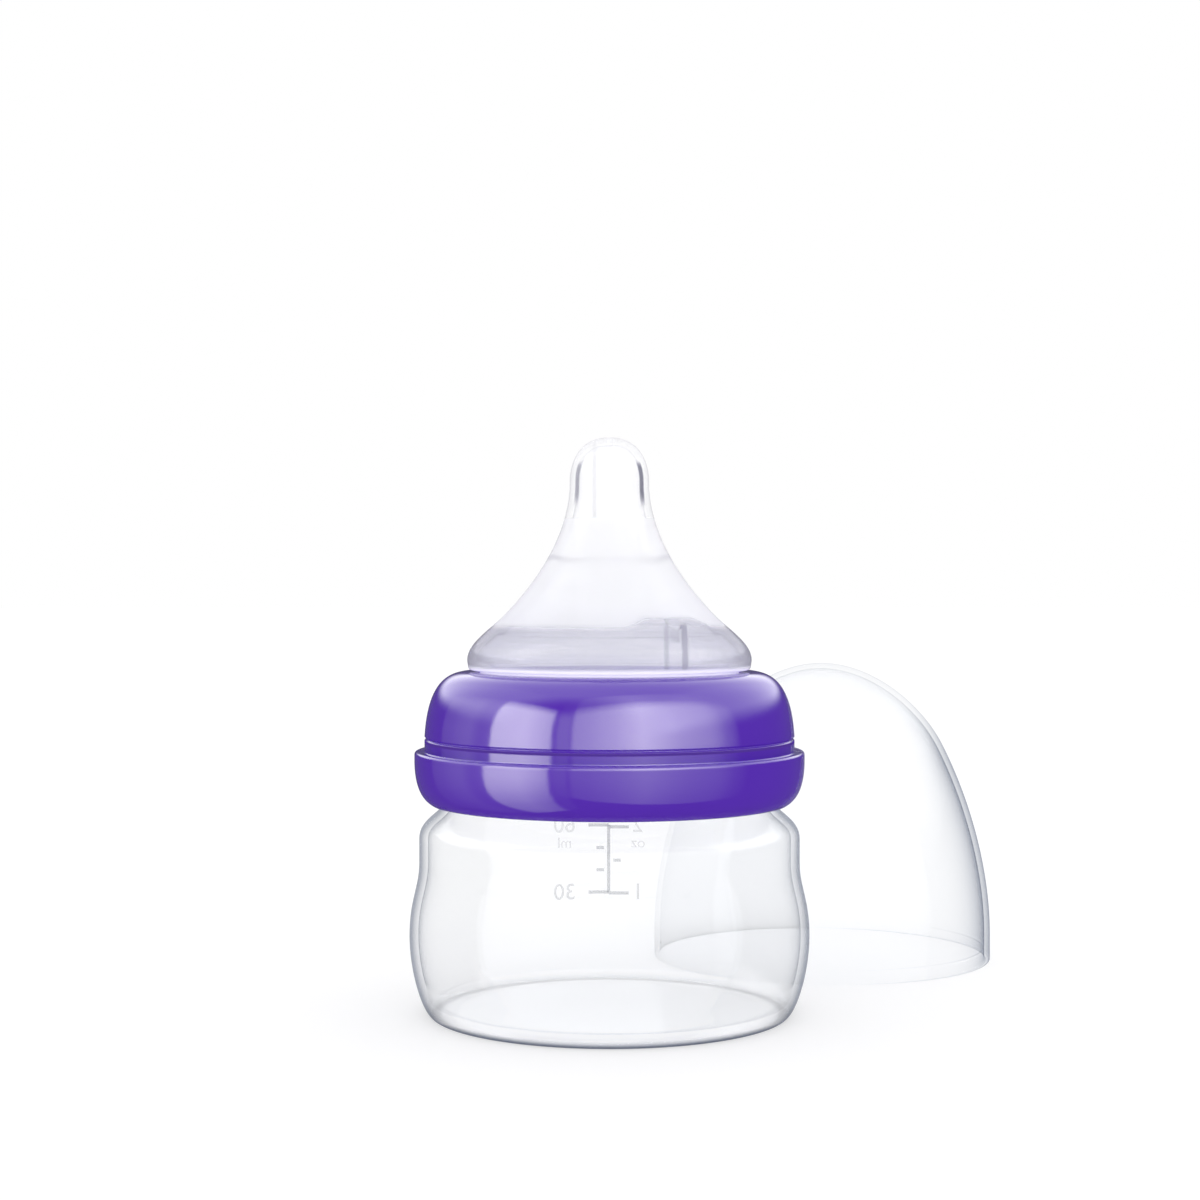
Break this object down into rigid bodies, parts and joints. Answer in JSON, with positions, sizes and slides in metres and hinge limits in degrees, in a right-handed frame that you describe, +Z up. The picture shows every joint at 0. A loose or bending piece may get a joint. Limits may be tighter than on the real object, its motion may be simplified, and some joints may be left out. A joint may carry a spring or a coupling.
{
  "type": "baby feeding bottle",
  "caption": "Small wide-necked clear feeding bottle with a screw collar, a soft vented teat and a clear dome cap that stands beside it.",
  "frame": {"origin": "on the bottle's axis, at the level of the surface that it stands on, 0.6 mm under the recessed base panel", "axes": "+Z up along the bottle's axis towards the teat's tip; -Y is the front, where the bottle's wall is plain; the volume scale is at +Y; the cap stands behind at +X and +Y"},
  "size_m": [0.1012, 0.1143, 0.0913],
  "materials": {
    "clear_bottle": "clear moulded polypropylene, high gloss",
    "silicone": "translucent silicone, satin",
    "purple_plastic": "opaque purple moulded polypropylene, gloss",
    "clear_cap": "clear moulded polypropylene, high gloss"
  },
  "bodies": {
    "bottle": {"bottle": "clear_bottle"},
    "teat": {"teat": "silicone"},
    "collar": {"screw_collar": "purple_plastic"},
    "cap": {"dome_cap": "clear_cap"}
  },
  "joints": [
    {"name": "teat_lift", "type": "slide", "parent": "bottle", "child": "teat", "axis": [0, 0, 1], "range_m": [0, 0.005]},
    {"name": "collar_turn", "type": "hinge", "parent": "teat", "child": "collar", "pos_m": [0, 0, 0.0333], "axis": [0, 0, 1], "range_deg": [0, 450]},
    {"name": "cap_lift", "type": "slide", "parent": "bottle", "child": "cap", "axis": [0, 0, 1], "range_m": [0, 0.1]}
  ],
  "couplings": [
    {"joint": "teat_lift", "follows": "collar_turn", "m_per_rad": 0.00063662}
  ]
}
